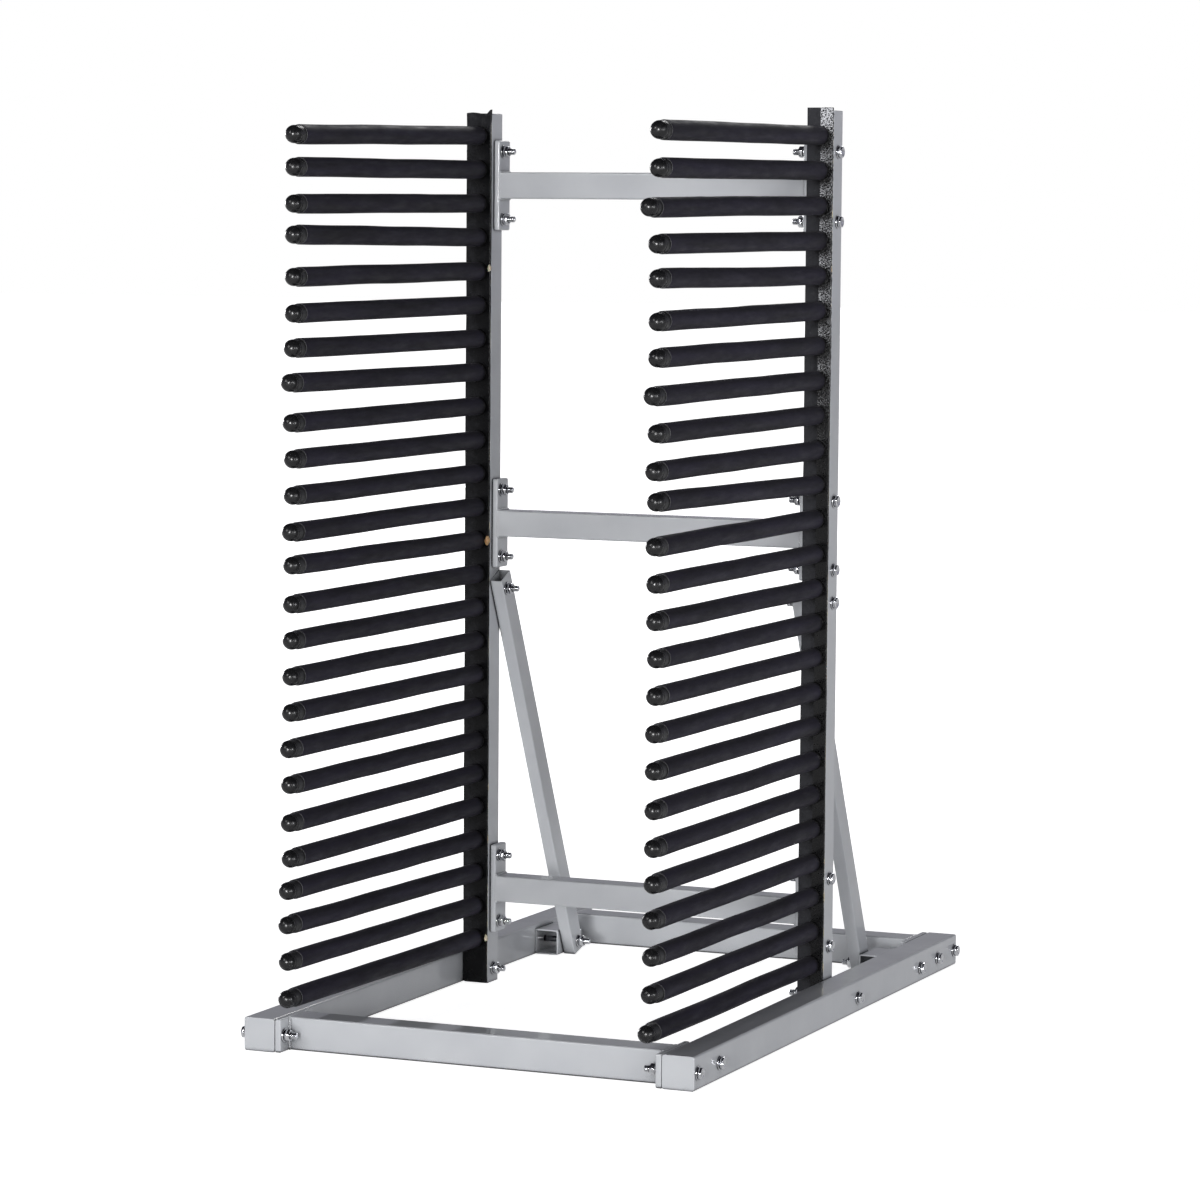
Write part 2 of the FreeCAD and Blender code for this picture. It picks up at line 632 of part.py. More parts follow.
def joint_points():
    """Every bolted joint: its kind, outer face and grip as numbers, and its Y and Z."""
    front = worth(BASE_FRONT)
    upright_outer = worth(f"{UPRIGHT_INNER} + upright_size")
    beam_outer = size["base_width"] / 2
    upright_y = worth(f"{UPRIGHT_FRONT} + upright_size / 2")
    flange = size["flange_plate"]
    for _, level in CROSS_LEVELS:
        for way in "+-":
            height = worth(f"{level} {way} cross_bolt_spread / 2")
            yield "cross_member", upright_outer, size["upright_size"] + flange, upright_y, height
    for along, up in BEAM_BOLTS:
        yield "base", beam_outer, size["beam_size"] + flange, front + worth(along), worth(up)
    through_foot = size["beam_size"] + size["upright_size"]
    yield "foot", beam_outer, through_foot, front + worth(FOOT_BOLT[0]), worth(FOOT_BOLT[1])
    yield ("brace_foot", beam_outer, through_foot + size["brace_wide"], front + worth(BRACE_BOLT[0]),
           worth(BRACE_BOLT[1]))
    yield ("brace_top", upright_outer, size["upright_size"] + size["brace_wide"], upright_y,
           size["brace_top_bolt_level"])


def make_fasteners():
    """Bolts with their heads outside, and a washer under each head and each nut."""
    nut, washer = make_nut(), make_washer()
    bolts, nuts, washers = {}, {}, {}
    for number, (kind, outer, grip, along, up) in enumerate(joint_points()):
        bolt = make_bolt(grip)
        place_name = "base" if kind in ("base", "foot", "brace_foot") else "upright"
        for _, side in SIDES:
            outward = FreeCAD.Rotation(FreeCAD.Vector(0, 1, 0), 90 * side)
            spun = outward.multiply(FreeCAD.Rotation(FreeCAD.Vector(0, 0, 1), 17 * number + 23 * (side > 0)))

            def at(shape, distance):
                return posed(shape, FreeCAD.Placement(FreeCAD.Vector(side * distance, along, up), spun))

            inner = outer - grip
            bolts.setdefault(kind, []).append(at(bolt, outer + size["washer_thick"]))
            washers.setdefault(place_name, []).append(at(washer, outer))
            washers[place_name].append(at(washer, inner - size["washer_thick"]))
            nuts.setdefault(place_name, []).append(at(nut, inner - size["washer_thick"] - size["nut_tall"]))
    pieces = [group(kind + "_bolts", solids) for kind, solids in bolts.items()]
    pieces += [group(kind + "_washers", solids) for kind, solids in washers.items()]
    pieces += [group(kind + "_nuts", solids) for kind, solids in nuts.items()]
    return pieces


hex_head = hex_block("head_pattern", "head_tall", False)
hex_nut = hex_block("nut_pattern", "nut_tall", True)

# ---------------------------------------------------------------- the rack
pieces = make_uprights() + make_strips() + make_cross_members() + make_side_beams() + make_cross_beams()
pieces += make_spacers() + make_braces() + make_arms() + make_fasteners()
doc.recompute()

for thing in doc.Objects:
    if {"Invalid", "Error"} & set(thing.State):
        raise RuntimeError(f"{thing.Label} failed: {thing.State}")
for piece in pieces:
    if piece.Shape.isNull() or not piece.Shape.isValid():
        raise RuntimeError(piece.Label + " has no valid shape")

os.makedirs("parts", exist_ok=True)
for piece in pieces:
    piece.Shape.exportStep(f"parts/{piece.Label}.step")
print(len(pieces), "nodes,", sum(len(piece.Shape.Solids) for piece in pieces), "solids")
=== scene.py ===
"""Looks of the two-column storage rack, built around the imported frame, in metres."""
import json
import math
import random

import bmesh
import bpy
from mathutils import Matrix, Vector, noise


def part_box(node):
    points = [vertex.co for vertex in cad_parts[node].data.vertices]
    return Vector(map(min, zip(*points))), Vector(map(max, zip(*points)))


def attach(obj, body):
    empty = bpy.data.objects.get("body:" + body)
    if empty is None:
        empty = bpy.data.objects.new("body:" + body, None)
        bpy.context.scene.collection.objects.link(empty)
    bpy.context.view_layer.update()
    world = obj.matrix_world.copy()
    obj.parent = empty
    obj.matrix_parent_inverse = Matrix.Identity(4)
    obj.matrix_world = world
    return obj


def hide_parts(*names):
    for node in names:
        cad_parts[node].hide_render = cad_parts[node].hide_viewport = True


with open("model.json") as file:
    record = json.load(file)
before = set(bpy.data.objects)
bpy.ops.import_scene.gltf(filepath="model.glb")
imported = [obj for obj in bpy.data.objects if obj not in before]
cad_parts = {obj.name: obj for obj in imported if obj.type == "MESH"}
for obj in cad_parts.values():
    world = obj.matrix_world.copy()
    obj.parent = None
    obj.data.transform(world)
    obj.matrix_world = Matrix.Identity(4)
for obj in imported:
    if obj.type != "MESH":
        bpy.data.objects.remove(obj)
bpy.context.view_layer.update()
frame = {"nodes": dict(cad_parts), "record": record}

MM = 0.001
SIDES = ("left", "right")

# ---------------------------------------------------------------- materials
WHITE = (1, 1, 1)
# the colour toward which painted shade darkens in creases and hollows
SHADE_COLOUR = (0.07, 0.07, 0.08)
BARE_RUBBER = (0.0016, 0.0016, 0.0019)
PAINTED_SHEEN = (0.0340, 0.0345, 0.0390)
PAINTED_GLINT = (0.72, 0.73, 0.76)
# the direction of the light whose sheen, and the arms' shadows, are painted on the strips
UP_AND_LEFT = (-0.60, -0.50, 0.62)
# how near things have to be to shade one another
TUBE_SHADE = 80 * MM
CORNER_SHADE = 9 * MM
THREAD_SHADE = 6 * MM
SLEEVE_SHADE = 18 * MM
ARM_SHADE = 70 * MM
# heights between which the right strip's skin goes from smooth to wrinkled
SMOOTH_BELOW = 0.9
WRINKLED_ABOVE = 1.35


class Surface:
    """A material with one Principled shader and short ways to add nodes to it."""

    def __init__(self, name, **sockets):
        self.material = bpy.data.materials.new(name)
        self.material.use_nodes = True
        self.tree = self.material.node_tree
        self.shader = self.tree.nodes["Principled BSDF"]
        for socket, value in sockets.items():
            self.shader.inputs[socket.replace("_", " ")].default_value = value
        self.place = self.add("ShaderNodeTexCoord").outputs["Object"]

    def add(self, kind, settings=None, **inputs):
        """A node whose inputs, by name or as i0, i1, get a value or another node's output."""
        node = self.tree.nodes.new(kind)
        for name, value in (settings or {}).items():
            setattr(node, name, value)
        for name, value in inputs.items():
            numbered = name[0] == "i" and name[1:].isdigit()
            socket = node.inputs[int(name[1:]) if numbered else name]
            if isinstance(value, bpy.types.NodeSocket):
                self.tree.links.new(value, socket)
            else:
                socket.default_value = value
        return node

    def grain(self, scale, detail=2.0, stretch=(1, 1, 1)):
        """Noise from 0 to 1; scale counts its features in a metre."""
        mapping = self.add("ShaderNodeMapping", Vector=self.place, Scale=stretch)
        node = self.add("ShaderNodeTexNoise", Vector=mapping.outputs[0], Scale=scale,
                        Detail=detail)
        return node.outputs["Fac"]

    def ramp(self, source, low, high, start=0.3, end=0.7):
        """Map a value to a range of numbers, or to a mix of two colours."""
        if isinstance(low, (int, float)):
            limits = {"From Min": start, "From Max": end, "To Min": low, "To Max": high}
            return self.add("ShaderNodeMapRange", Value=source, **limits).outputs[0]
        node = self.add("ShaderNodeValToRGB", Fac=source)
        for stop, position, colour in zip(node.color_ramp.elements, (start, end), (low, high)):
            stop.position = position
            stop.color = (*colour, 1)
        return node.outputs[0]

    def times(self, first, second):
        """The product of two values."""
        return self.add("ShaderNodeMath", {"operation": "MULTIPLY"}, i0=first, i1=second).outputs[0]

    def plus(self, first, second):
        """The sum of two values."""
        return self.add("ShaderNodeMath", {"operation": "ADD"}, i0=first, i1=second).outputs[0]

    def part(self, axis):
        """One coordinate of the place on the surface, in metres."""
        return self.add("ShaderNodeSeparateXYZ", Vector=self.place).outputs[axis]

    def feed(self, socket, source):
        """Join a node's output to one of the shader's sockets."""
        self.tree.links.new(source, self.shader.inputs[socket])

    def shade_creases(self, colour, reach, start, end):
        """Paint shade into a colour in creases and hollows narrower than reach, in metres."""
        crease = self.add("ShaderNodeAmbientOcclusion", {"samples": 6}, Distance=reach)
        shade_mix = self.ramp(crease.outputs["AO"], SHADE_COLOUR, WHITE, start, end)
        mixed = self.add("ShaderNodeMixRGB", {"blend_type": "MULTIPLY"}, Fac=1.0,
                         Color1=colour, Color2=shade_mix)
        return mixed.outputs[0]

    def openness(self, reach, direction, start, end):
        """How open a surface is toward a direction, from 0 to 1, with things nearer than reach; the
        strips use it to place painted light and painted shadow.
        """
        across, along, up = direction
        toward = self.add("ShaderNodeCombineXYZ", X=across, Y=along, Z=up).outputs[0]
        sky = self.add("ShaderNodeAmbientOcclusion", {"samples": 8}, Distance=reach, Normal=toward)
        return self.ramp(sky.outputs["AO"], 0.0, 1.0, start, end)

    def bumpy(self, height, depth, strength=1.0):
        """Use a height from 0 to 1 as relief of that depth in metres."""
        node = self.add("ShaderNodeBump", Height=height, Distance=depth, Strength=strength)
        self.feed("Normal", node.outputs[0])


def silver_paint():
    """Silver-grey powder coat with orange peel, with painted shade in its corners and inside the
    tubes.
    """
    skin = Surface("silver_powder_coat", Metallic=0.0, Coat_Weight=1.0, Coat_Roughness=0.05)
    unshaded = skin.ramp(skin.grain(9, 4), (0.50, 0.515, 0.54), (0.56, 0.575, 0.595))
    # painted shade: darker inside the tubes and in the corners and gaps between parts
    outside = skin.shade_creases(unshaded, TUBE_SHADE, 0.12, 0.42)
    skin.feed("Base Color", skin.shade_creases(outside, CORNER_SHADE, 0.46, 0.80))
    skin.feed("Roughness", skin.ramp(skin.grain(35, 5), 0.36, 0.50))
    peel = skin.plus(skin.times(skin.grain(420, 1), 0.7), skin.times(skin.grain(2600, 2), 0.3))
    skin.bumpy(peel, 0.12 * MM, 0.6)
    return skin.material


def zinc_plate():
    """Bright zinc with a little unevenness, with painted shade in the threads and under the nuts.
    """
    skin = Surface("bright_zinc", Metallic=1.0)
    unshaded = skin.ramp(skin.grain(160, 3), (0.74, 0.75, 0.78), (0.93, 0.94, 0.96))
    # painted shade in the threads and round the nuts and washers
    skin.feed("Base Color", skin.shade_creases(unshaded, THREAD_SHADE, 0.46, 0.88))
    skin.feed("Roughness", skin.ramp(skin.grain(700, 3), 0.05, 0.16))
    skin.bumpy(skin.grain(900, 3), 0.08 * MM, 0.5)
    return skin.material


def sleeve_rubber():
    """Matt black rubber hose: fine grain, long faint streaks, a violet cast and painted shade near
    the strip.
    """
    skin = Surface("sleeve_rubber", Sheen_Weight=0.02, Sheen_Roughness=0.5,
                   Specular_IOR_Level=0.22)
    streaks = skin.grain(60, 4, (1, 0.08, 1))
    unshaded = skin.ramp(streaks, (0.0074, 0.0066, 0.0110), (0.0175, 0.0150, 0.0300))
    # painted shade where a sleeve nears the strip and the sleeves beside it
    skin.feed("Base Color", skin.shade_creases(unshaded, SLEEVE_SHADE, 0.45, 0.80))
    skin.feed("Roughness", skin.ramp(skin.grain(90, 4, (1, 0.2, 1)), 0.50, 0.70))
    fine = skin.grain(1500, 3)
    skin.bumpy(skin.plus(skin.times(fine, 0.4), skin.times(streaks, 0.6)), 0.4 * MM, 0.5)
    return skin.material


def lip_highlight_rubber():
    """The cut end of a hose, drier than its skin, its paler colour a painted highlight where the
    lip catches the light.
    """
    skin = Surface("lip_highlight_rubber", Specular_IOR_Level=0.4)
    pale, paler = (0.030, 0.030, 0.032), (0.085, 0.085, 0.090)
    # the paler colour is a painted highlight on the lip
    skin.feed("Base Color", skin.ramp(skin.grain(300, 4), pale, paler))
    skin.feed("Roughness", skin.ramp(skin.grain(500, 3), 0.45, 0.65))
    skin.bumpy(skin.grain(1800, 3), 0.2 * MM, 0.6)
    return skin.material


def strip_rubber():
    """Smooth black rubber sheet with painted sheen where it lies open toward the upper left and
    painted shadows of the arms, more sheen on the right strip.
    """
    skin = Surface("strip_rubber", Specular_IOR_Level=0.18)
    by_side = skin.ramp(skin.part("X"), 0.55, 1.0, -0.3, 0.3)
    patches = skin.times(skin.ramp(skin.grain(60, 4), 0.6, 1.0), by_side)
    # painted light: sheen where the arms leave the strip open, painted shadow where they hide it
    painted_light = skin.times(skin.openness(ARM_SHADE, UP_AND_LEFT, 0.38, 0.56), patches)
    skin.feed("Base Color", skin.ramp(painted_light, BARE_RUBBER, PAINTED_SHEEN))
    skin.feed("Roughness", skin.ramp(skin.grain(70, 4), 0.20, 0.30))
    skin.bumpy(skin.grain(300, 2), 0.1 * MM, 0.5)
    return skin.material


def crinkled_rubber():
    """The part of a strip where its shiny skin has wrinkled, most of all near the top, with painted
    glints on it outside the arms' painted shadows.
    """
    skin = Surface("crinkled_rubber", Specular_IOR_Level=0.2, Coat_Weight=0.35,
                   Coat_Roughness=0.06)
    wrinkling = skin.ramp(skin.part("Z"), 0.0, 1.0, SMOOTH_BELOW, WRINKLED_ABOVE)
    # pale spots that are painted glints; they also set the roughness
    glint_spots = skin.ramp(skin.grain(480, 6, (0.6, 1, 1)), 0.0, 1.0, 0.42, 0.55)
    unshadowed_parts = skin.openness(ARM_SHADE, UP_AND_LEFT, 0.38, 0.58)
    # painted glints only where the arms leave the strip open, painted shadow elsewhere
    painted_light = skin.times(unshadowed_parts, skin.plus(skin.times(wrinkling, glint_spots), 0.02))
    skin.feed("Base Color", skin.ramp(painted_light, BARE_RUBBER, PAINTED_GLINT))
    skin.feed("Roughness", skin.ramp(glint_spots, 0.22, 0.34))
    skin.bumpy(skin.times(skin.grain(420, 6), skin.plus(wrinkling, 0.03)), 1.6 * MM, 1.0)
    return skin.material


def plug_plastic():
    """Glossy black moulded plastic."""
    skin = Surface("plug_plastic", Specular_IOR_Level=0.55)
    dark, lighter = (0.0060, 0.0060, 0.0065), (0.0110, 0.0110, 0.0120)
    skin.feed("Base Color", skin.ramp(skin.grain(120, 3), dark, lighter))
    skin.feed("Roughness", skin.ramp(skin.grain(300, 4), 0.17, 0.34))
    skin.bumpy(skin.grain(800, 3), 0.1 * MM, 0.5)
    return skin.material


def arm_paint():
    """Thin black paint on the bare ends of the arm tubes."""
    skin = Surface("arm_paint", Specular_IOR_Level=0.5)
    dark, lighter = (0.0085, 0.0085, 0.0090), (0.0200, 0.0200, 0.0220)
    skin.feed("Base Color", skin.ramp(skin.grain(150, 4), dark, lighter))
    skin.feed("Roughness", skin.ramp(skin.grain(400, 4), 0.30, 0.50))
    skin.bumpy(skin.grain(1200, 3), 0.1 * MM, 0.5)
    return skin.material


def glue(name, low, high):
    """Dried adhesive that has squeezed out."""
    skin = Surface(name, Subsurface_Weight=0.15, Subsurface_Scale=2 * MM, Coat_Weight=0.5,
                   Coat_Roughness=0.15)
    skin.feed("Base Color", skin.ramp(skin.grain(300, 4), low, high))
    skin.feed("Roughness", skin.ramp(skin.grain(500, 3), 0.25, 0.5))
    skin.bumpy(skin.grain(900, 3), 0.3 * MM, 0.6)
    return skin.material


PAINT = silver_paint()
ZINC = zinc_plate()
SLEEVE = sleeve_rubber()
LIP_HIGHLIGHT_RUBBER = lip_highlight_rubber()
STRIP = strip_rubber()
CRINKLE = crinkled_rubber()
PLUG = plug_plastic()
ARM = arm_paint()
CREAM_GLUE = glue("cream_glue", (0.42, 0.36, 0.24), (0.66, 0.60, 0.44))
AMBER_GLUE = glue("amber_glue", (0.30, 0.16, 0.06), (0.55, 0.34, 0.16))
BY_SLOT = {"frame_paint": PAINT, "zinc_fasteners": ZINC, "sleeve_rubber": SLEEVE,
           "strip_rubber": STRIP, "plug_plastic": PLUG, "arm_tube_paint": ARM}


def dress_cad_nodes():
    """Every carried-over node takes the material of its slot."""
    for row in frame["record"]["subparts"]:
        for holder in frame["nodes"][row["node"]].material_slots:
            holder.material = BY_SLOT[row["material_slot"]]


# ---------------------------------------------------------------- mesh tools


def finish_piece(name, mesh_data, slot, replaced=(), materials=None):
    """Turn a bmesh into a piece of the rack."""
    mesh = bpy.data.meshes.new(name)
    bmesh.ops.recalc_face_normals(mesh_data, faces=mesh_data.faces)
    mesh_data.to_mesh(mesh)
    mesh_data.free()
    for material in materials or (BY_SLOT[slot],):
        mesh.materials.append(material)
    for face in mesh.polygons:
        face.use_smooth = True
    piece = bpy.data.objects.new(name, mesh)
    bpy.context.collection.objects.link(piece)
    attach(piece, "root")
    if replaced:
        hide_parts(*replaced)
    return piece


def islands(node):
    """The vertex positions of each solid in a CAD node."""
    mesh = bmesh.new()
    mesh.from_mesh(frame["nodes"][node].data)
    bmesh.ops.remove_doubles(mesh, verts=mesh.verts, dist=0.01 * MM)
    waiting = set(mesh.verts)
    found = []
    for first in mesh.verts:
        if first not in waiting:
            continue
        waiting.remove(first)
        stack = [first]
        points = []
        while stack:
            vertex = stack.pop()
            points.append(vertex.co.copy())
            for edge in vertex.link_edges:
                other = edge.other_vert(vertex)
                if other in waiting:
                    waiting.remove(other)
                    stack.append(other)
        found.append(points)
    mesh.free()
    return found


def box_of(points):
    """The lowest and highest corner of some points."""
    low = Vector(min(point[axis] for point in points) for axis in range(3))
    high = Vector(max(point[axis] for point in points) for axis in range(3))
    return low, high


def axis_ends(points):
    """The centres of a tube's two ends: at the upright, and at the free end."""
    low, high = box_of(points)
    ends = []
    near = 3 * MM
    for inside in (lambda point: point.y > high.y - near, lambda point: point.y < low.y + near):
        end_low, end_high = box_of([point for point in points if inside(point)])
        ends.append((end_low + end_high) / 2)
    return ends


def arms_of(side):
    """The root and the free end of each arm tube, from the top."""
    ends = [axis_ends(points) for points in islands(side + "_arm_tubes")]
    return sorted(ends, key=lambda pair: -pair[0].z)


def angles(count):
    """Evenly spaced angles round a circle."""
    return [2 * math.pi * step / count for step in range(count)]


def bridge(mesh, *rings):
    """Join each ring of vertices to the next one with a band of faces."""
    for ring, following in zip(rings, rings[1:]):
        for step in range(len(ring)):
            after = (step + 1) % len(ring)
            mesh.faces.new((ring[step], ring[after], following[after], following[step]))


def lathe(mesh, profile, place, around, wobble=None, closed=False):
    """Sweep a profile of (radius, height) pairs round the Z axis of a placement.

    A radius or a height may be a function of the angle. A closed profile's last ring is joined
    to its first.
    """
    rings = []
    for radius, height in profile:
        ring = []
        for angle in angles(around):
            out = radius(angle) if callable(radius) else radius
            up = height(angle) if callable(height) else height
            spot = place @ Vector((out * math.cos(angle), out * math.sin(angle), up))
            ring.append(mesh.verts.new(spot if wobble is None else spot + wobble(spot, angle)))
        rings.append(ring)
    bridge(mesh, *rings)
    if closed:
        bridge(mesh, rings[-1], rings[0])
    return rings


def cap(mesh, ring):
    """Close a ring with a fan round its middle."""
    middle = mesh.verts.new(sum((vertex.co for vertex in ring), Vector()) / len(ring))
    for vertex, after in zip(ring, ring[1:] + ring[:1]):
        mesh.faces.new((vertex, after, middle))


def aim(start, end, spin=0.0):
    """A placement at start whose Z axis points at end."""
    turn = (end - start).to_track_quat("Z", "Y").to_matrix().to_4x4()
    return Matrix.Translation(start) @ turn @ Matrix.Rotation(spin, 4, "Z")


# ---------------------------------------------------------------- arms
TIERS = range(1, 6)
SLEEVE_RADIUS = 17.5 * MM
SLEEVE_WALL = 1.35 * MM
SLEEVE_LIP = 0.7 * MM
SLEEVE_RINGS = 72
SLEEVE_AROUND = 32
BORE_RINGS = 6
LIP_ANGLES = (0, 30, 60, 90)
# unevenness of a sleeve in millimetres, and the length over which it sets in
SWAY, SAG, DENT = 1.0, 1.2, 0.35
STEADY_LENGTH = 60 * MM


def sleeve_profile(length, bore):
    """Outside from the root to the lip, over the lip, and back down the bore."""
    profile = [(SLEEVE_RADIUS, length * step / SLEEVE_RINGS) for step in range(SLEEVE_RINGS)]
    for turn in map(math.radians, LIP_ANGLES):
        profile.append((SLEEVE_RADIUS - SLEEVE_LIP * (1 - math.cos(turn)),
                        length - SLEEVE_LIP * (1 - math.sin(turn))))
    profile += [(bore + 0.2 * MM, length), (bore, length - 0.3 * MM)]
    profile += [(bore, length * step / BORE_RINGS) for step in reversed(range(BORE_RINGS))]
    return profile


def make_sleeves():
    """Rubber hoses that are slightly uneven, as hose pushed over a tube is."""
    for side in SIDES:
        for tier in TIERS:
            node = f"{side}_arm_sleeves_tier_{tier}"
            mesh = bmesh.new()
            for points in islands(node):
                root, tip = axis_ends(points)
                seed = Vector((root.x * 7, root.z * 31, tip.z * 17))

                def wobble(spot, angle):
                    """A slow sway, sag and denting that begins a little way from the root."""
                    along = (spot - root).length
                    sag = noise.noise(Vector((along * 5, 0, 0)) + seed)
                    sway = noise.noise(Vector((along * 5, 5, 0)) + seed)
                    cosine, sine = math.cos(angle), math.sin(angle)
                    dent = noise.noise(Vector((along * 12, cosine, sine)) + seed)
                    outward = Vector((cosine, 0, sine)) * dent * DENT * MM
                    shift = Vector((sway * SWAY * MM, 0, sag * SAG * MM)) + outward
                    return shift * min(1.0, along / STEADY_LENGTH)

                profile = sleeve_profile((tip - root).length, SLEEVE_RADIUS - SLEEVE_WALL)
                rings = lathe(mesh, profile, aim(root, tip), SLEEVE_AROUND, wobble, closed=True)
                lip_rings = rings[SLEEVE_RINGS + 1:SLEEVE_RINGS + 1 + len(LIP_ANGLES)]
                lip = {vertex for ring in lip_rings for vertex in ring}
                for face in {face for vertex in lip for face in vertex.link_faces}:
                    face.material_index = int(all(vertex in lip for vertex in face.verts))
            finish_piece(f"{side}_sleeves_tier_{tier}", mesh, "sleeve_rubber", [node],
                         (SLEEVE, LIP_HIGHLIGHT_RUBBER))


DOME_RADIUS = 16 * MM
PLUG_RIM = 2.5 * MM
PLUG_NECK = 1.0 * MM
STEM_RADIUS = 12.5 * MM
STEM_LENGTH = 24 * MM
STEM_RIBS = 3
RIB_RADIUS = 13.8 * MM
NECK_RADIUS = STEM_RADIUS + 1.6 * MM
DOME_RINGS = 14
DOME_SWEEP = 89
PLUG_AROUND = 36


def make_plugs():
    """Moulded plugs: ribbed stem, neck, rim, mould line and dome."""
    profile = [(STEM_RADIUS - 1 * MM, -STEM_LENGTH)]
    for rib in range(STEM_RIBS, 0, -1):
        height = -STEM_LENGTH * rib / (STEM_RIBS + 1)
        profile += [(STEM_RADIUS, height), (RIB_RADIUS, height + 0.4 * MM),
                    (RIB_RADIUS, height + 1.1 * MM), (STEM_RADIUS, height + 1.5 * MM)]
    profile += [(STEM_RADIUS, -1 * MM), (NECK_RADIUS, 0), (NECK_RADIUS, PLUG_NECK * 0.9)]
    ball = PLUG_NECK + PLUG_RIM
    profile += [(DOME_RADIUS - 0.5 * MM, PLUG_NECK), (DOME_RADIUS, PLUG_NECK + 0.5 * MM),
                (DOME_RADIUS, ball - 0.4 * MM), (DOME_RADIUS - 0.25 * MM, ball - 0.2 * MM)]
    for step in range(DOME_RINGS + 1):
        turn = math.radians(DOME_SWEEP * step / DOME_RINGS)
        profile.append((DOME_RADIUS * math.cos(turn), ball + DOME_RADIUS * math.sin(turn)))
    for side in SIDES:
        mesh = bmesh.new()
        for root, end in arms_of(side):
            rings = lathe(mesh, profile, aim(end, end + (end - root)), PLUG_AROUND)
            cap(mesh, rings[0])
            cap(mesh, rings[-1])
        finish_piece(side + "_dome_plugs", mesh, "plug_plastic", [side + "_arm_end_plugs"])


# ---------------------------------------------------------------- rubber strips
STRIP_STEP_ACROSS = 1.25 * MM
STRIP_STEP_UP = 1.5 * MM
STRIP_HOLE = 16.5 * MM
STRIP_SEED = {"left": 3, "right": 11}
# waves along the edges and over the face, then the left strip's top with its lifted corner,
# then the right strip's wrinkled half
EDGE_WAVE = 0.8 * MM
EDGE_WIDTH = 8 * MM
FACE_WAVE = 0.5 * MM
TOP_BAND = 30 * MM
TOP_DIP = 4.5 * MM
TOP_DIP_SWING = 1.2 * MM
CORNER_WIDTH = 9 * MM
CORNER_CURL = 2 * MM
CORNER_LEAN = 1.5 * MM
WRINKLE_FADE = 12 * MM
WRINKLE_LOW = 0.05 * MM
WRINKLE_HIGH = 0.55 * MM
WRINKLE_START = 1.0
WRINKLE_RISE = 0.4
WRINKLED_SHARE = 0.52
STRIP_CLEARANCE = 0.2 * MM


def smooth_step(value):
    """Ease from 0 to 1."""
    value = min(1.0, max(0.0, value))
    return value * value * (3 - 2 * value)


def strip_shape(side, low, high, across, up):
    """Where a point of a strip really lies: wavy edges, a lifted corner, a wrinkled half."""
    seed = Vector((0, 0, STRIP_SEED[side]))
    from_edge = min(across - low.x, high.x - across)
    wave = noise.noise(Vector((across * 20, 0, up * 14)) + seed) * EDGE_WAVE
    across_new = across + wave * smooth_step(1 - from_edge / EDGE_WIDTH)
    depth = noise.noise(Vector((across * 25, 1, up * 9)) + seed) * FACE_WAVE
    up_new = up
    if side == "left":
        near_top = smooth_step(1 - (high.z - up) / TOP_BAND)
        lifted = smooth_step((across - high.x + CORNER_WIDTH) / CORNER_WIDTH)
        dip = TOP_DIP - TOP_DIP_SWING * math.sin((across - low.x) * 130)
        up_new += near_top * (CORNER_CURL * lifted - dip * (1 - lifted))
        across_new += near_top * lifted * CORNER_LEAN
        depth += near_top * lifted * CORNER_LEAN
    else:
        wrinkled = smooth_step((across - (low.x + high.x) / 2) / WRINKLE_FADE)
        along, over = across * 0.8 + up * 0.6, up * 0.8 - across * 0.6
        crease = noise.fractal(Vector((along * 110, 2, over * 330)) + seed, 0.7, 2.2, 4)
        height = WRINKLE_LOW + WRINKLE_HIGH * smooth_step((up - WRINKLE_START) / WRINKLE_RISE)
        depth += wrinkled * crease * height
    return Vector((across_new, low.y - depth, up_new))


def make_strips():
    """Rubber sheets on the uprights' faces, each with a hole round every arm."""
    for side in SIDES:
        node = side + "_face_strip"
        low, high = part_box(node)
        roots = [root for root, _ in arms_of(side)]
        columns = round((high.x - low.x) / STRIP_STEP_ACROSS)
        rows = round((high.z - low.z) / STRIP_STEP_UP)
        mesh = bmesh.new()
        grid = []
        for row in range(rows + 1):
            up = low.z + (high.z - low.z) * row / rows
            arm = min(roots, key=lambda root: abs(root.z - up))
            line = []
            for column in range(columns + 1):
                across = low.x + (high.x - low.x) * column / columns
                offset = Vector((across - arm.x, up - arm.z))
                if abs(offset.length - STRIP_HOLE) < STRIP_STEP_UP * 0.6:
                    offset = offset.normalized() * STRIP_HOLE
                spot = strip_shape(side, low, high, arm.x + offset.x, arm.z + offset.y)
                vertex = mesh.verts.new(spot)
                line.append((vertex, offset.length < STRIP_HOLE - 0.1 * MM))
            grid.append(line)
        for line, following in zip(grid, grid[1:]):
            for column in range(columns):
                corners = (line[column], line[column + 1], following[column + 1], following[column])
                if not any(inside for _, inside in corners):
                    face = mesh.faces.new([vertex for vertex, _ in corners])
                    wrinkled = side == "right" and column > columns * WRINKLED_SHARE
                    face.material_index = int(wrinkled)
        loose = [vertex for vertex in mesh.verts if not vertex.link_faces]
        bmesh.ops.delete(mesh, geom=loose, context="VERTS")
        piece = finish_piece(side + "_rubber_strip", mesh, "strip_rubber", [node], (STRIP, CRINKLE))
        thick = piece.modifiers.new("thickness", "SOLIDIFY")
        thick.thickness = (high.y - low.y) - STRIP_CLEARANCE
        thick.offset = -1 if piece.data.polygons[0].normal.y < 0 else 1


# ---------------------------------------------------------------- welds
BEAD_RADIUS = 3.2 * MM
# shares of that radius: the least, what the ripples add, what unevenness adds or takes
BEAD_LEAST, BEAD_SWELL, BEAD_UNEVEN = 0.86, 0.16, 0.22
BEAD_RIPPLE = 4.2 * MM
BEAD_STEP = 0.7 * MM
BEAD_SIDES = 10
BEAD_SINK = 0.80
CROSS_TUBE_CORNER = 3.5 * MM
BEAM_CORNER = 4 * MM


